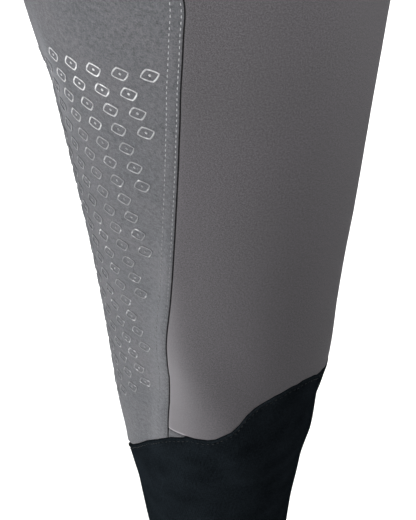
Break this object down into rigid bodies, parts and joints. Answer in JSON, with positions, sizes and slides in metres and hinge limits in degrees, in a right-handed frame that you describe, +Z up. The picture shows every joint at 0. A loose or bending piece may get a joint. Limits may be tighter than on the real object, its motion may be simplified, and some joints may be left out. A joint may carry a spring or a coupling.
{
  "type": "riding breeches",
  "caption": "Grey riding breeches, worn and hollow, with brushed inner-leg grip panels and black stretch sock cuffs.",
  "frame": {"origin": "centre of the waist opening, level with the top edge of the waistband", "axes": "+Z up, +X towards the wearer's left side, and -Y the way the wearer faces"},
  "size_m": [0.3842, 0.2535, 0.905],
  "materials": {
    "shell_cloth": "matt, finely woven",
    "grip_cloth": "matt, brushed",
    "cuff_knit": "soft sheen, fine knit",
    "grip_silicone": "clear gloss",
    "seam_thread": "soft sheen",
    "dark_thread": "soft sheen",
    "button_resin": "satin"
  },
  "bodies": {
    "root": {"front_left": "shell_cloth", "front_right": "shell_cloth", "back_left": "shell_cloth", "back_right": "shell_cloth", "grip_panel_left": "grip_cloth", "grip_panel_right": "grip_cloth", "cuff_left": "cuff_knit", "cuff_right": "cuff_knit", "waistband": "shell_cloth", "fly_shield": "shell_cloth", "button": "button_resin"}
  },
  "joints": []
}
